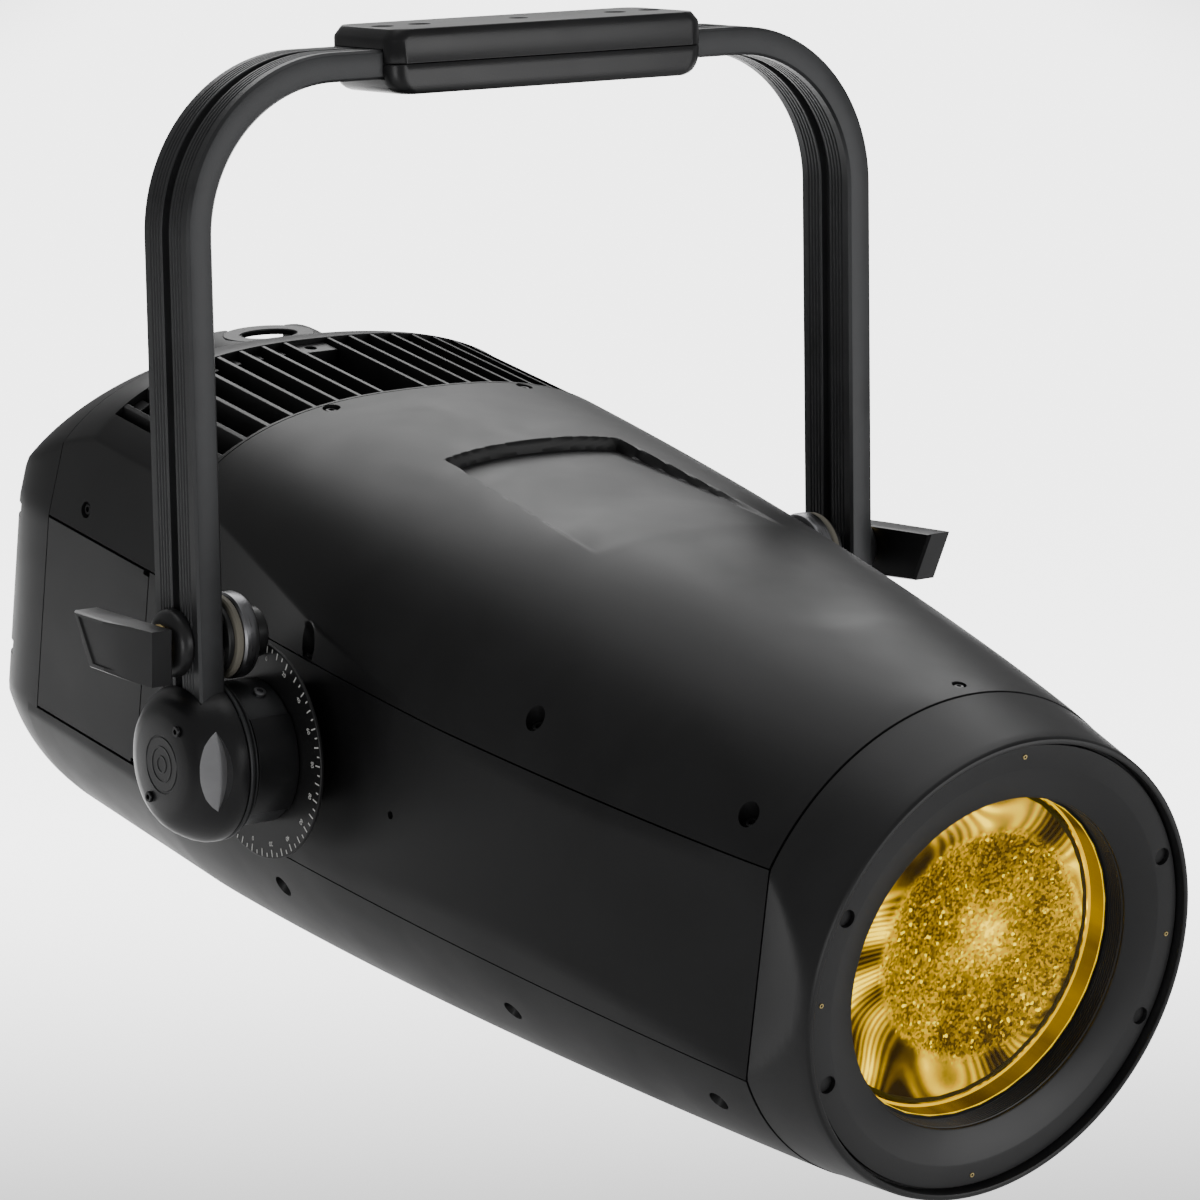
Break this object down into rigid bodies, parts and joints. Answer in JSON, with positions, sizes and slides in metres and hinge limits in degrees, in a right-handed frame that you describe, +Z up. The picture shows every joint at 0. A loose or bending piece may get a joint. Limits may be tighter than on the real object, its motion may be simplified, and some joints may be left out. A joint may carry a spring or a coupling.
{
  "type": "follow spot",
  "caption": "Large theatre follow spot: a tapering black lamp head with an amber front lens, tilting between the arms of a forked hanging yoke with locking levers.",
  "frame": {"origin": "centre of the crossbar's flat top face, on the axis of its clamp bolt hole", "axes": "+Z up along the clamp bolt, +X along the tilt axis, and the beam leaves towards -Y, nose down 10.4 degrees at rest"},
  "size_m": [0.61, 0.8974, 0.6797],
  "materials": {
    "cover_black": "satin",
    "cast_black": "satin",
    "arm_black": "satin",
    "steel": "satin",
    "black_plastic": "satin",
    "fibre": "matte",
    "amber_glass": "gloss",
    "clear_glass": "gloss",
    "bare_aluminium": "satin",
    "board_green": "matte"
  },
  "bodies": {
    "yoke": {"crossbar_top": "cast_black", "crossbar_bottom": "cast_black", "yoke_arm_left": "arm_black", "yoke_arm_right": "arm_black", "hub_cap_left": "cast_black", "hub_cap_right": "cast_black", "hub_bearing_left": "cast_black", "hub_bearing_right": "cast_black"},
    "head": {"pivot_nut_left": "steel", "pivot_nut_right": "steel", "top_cover": "cover_black", "bottom_cover": "cover_black", "side_panel_left": "cover_black", "rear_side_panel_left": "cover_black", "side_panel_right": "cover_black", "rear_side_panel_right": "cover_black", "rear_top_cover": "cover_black", "vent_grille": "black_plastic", "tail_cover": "cover_black", "safety_eye": "cast_black", "front_ring": "cast_black", "lens_retainer": "cast_black", "lens_gasket": "black_plastic", "front_lens": "amber_glass", "lens_cell": "black_plastic", "chassis": "bare_aluminium", "trunnion_left": "bare_aluminium", "tilt_dial_left": "black_plastic", "trunnion_right": "bare_aluminium", "tilt_dial_right": "black_plastic", "guide_rod_left": "steel", "guide_rod_right": "steel", "led_engine": "black_plastic", "heat_sink": "bare_aluminium", "power_supply": "bare_aluminium", "control_board": "board_green", "display_panel": "black_plastic", "power_inlet": "black_plastic", "data_sockets": "black_plastic"},
    "lock_left": {"lock_lever_left": "black_plastic", "lock_spindle_left": "black_plastic"},
    "clamp_left": {"clamp_carrier_left": "black_plastic", "clamp_washer_left": "fibre", "clamp_disc_left": "steel"},
    "lock_right": {"lock_lever_right": "black_plastic", "lock_spindle_right": "black_plastic"},
    "clamp_right": {"clamp_carrier_right": "black_plastic", "clamp_washer_right": "fibre", "clamp_disc_right": "steel"},
    "zoom": {"zoom_carriage": "bare_aluminium", "zoom_lens": "clear_glass"},
    "focus": {"focus_carriage": "bare_aluminium", "focus_lens": "clear_glass"},
    "color_wheel": {"color_wheel": "steel"},
    "gobo_wheel": {"gobo_wheel": "steel"},
    "fan": {"fan_rotor": "black_plastic"},
    "button_down": {"menu_button_down": "black_plastic"},
    "button_enter": {"menu_button_enter": "black_plastic"},
    "button_up": {"menu_button_up": "black_plastic"}
  },
  "joints": [
    {"name": "head_tilt", "type": "hinge", "parent": "yoke", "child": "head", "pos_m": [0, 0, -0.45], "axis": [1, 0, 0], "range_deg": [-65, 79.6]},
    {"name": "lock_turn_left", "type": "hinge", "parent": "yoke", "child": "lock_left", "pos_m": [-0.285, 0, -0.374], "axis": [-1, 0, 0], "range_deg": [0, 150]},
    {"name": "clamp_slide_left", "type": "slide", "parent": "yoke", "child": "clamp_left", "axis": [-1, 0, 0], "range_m": [0, 0.00065]},
    {"name": "lock_turn_right", "type": "hinge", "parent": "yoke", "child": "lock_right", "pos_m": [0.285, 0, -0.374], "axis": [1, 0, 0], "range_deg": [0, 150]},
    {"name": "clamp_slide_right", "type": "slide", "parent": "yoke", "child": "clamp_right", "axis": [1, 0, 0], "range_m": [0, 0.00065]},
    {"name": "zoom_slide", "type": "slide", "parent": "head", "child": "zoom", "axis": [0, -0.9836, -0.1805], "range_m": [-0.09, 0.06]},
    {"name": "focus_slide", "type": "slide", "parent": "head", "child": "focus", "axis": [0, -0.9836, -0.1805], "range_m": [-0.02, 0.09]},
    {"name": "color_turn", "type": "hinge", "parent": "head", "child": "color_wheel", "pos_m": [-0.052, 0, -0.45], "axis": [0, -0.9836, -0.1805], "continuous": true},
    {"name": "gobo_turn", "type": "hinge", "parent": "head", "child": "gobo_wheel", "pos_m": [0.052, 0, -0.45], "axis": [0, -0.9836, -0.1805], "continuous": true},
    {"name": "fan_turn", "type": "hinge", "parent": "head", "child": "fan", "pos_m": [0, 0.00505, -0.47754], "axis": [0, -0.9836, -0.1805], "continuous": true},
    {"name": "press_down", "type": "slide", "parent": "head", "child": "button_down", "axis": [0, -0.9836, -0.1805], "range_m": [0, 0.0015], "stiffness_N_per_m": 900},
    {"name": "press_enter", "type": "slide", "parent": "head", "child": "button_enter", "axis": [0, -0.9836, -0.1805], "range_m": [0, 0.0015], "stiffness_N_per_m": 900},
    {"name": "press_up", "type": "slide", "parent": "head", "child": "button_up", "axis": [0, -0.9836, -0.1805], "range_m": [0, 0.0015], "stiffness_N_per_m": 900}
  ],
  "couplings": [
    {"joint": "clamp_slide_left", "follows": "lock_turn_left", "m_per_rad": 0.000239},
    {"joint": "clamp_slide_right", "follows": "lock_turn_right", "m_per_rad": 0.000239}
  ]
}
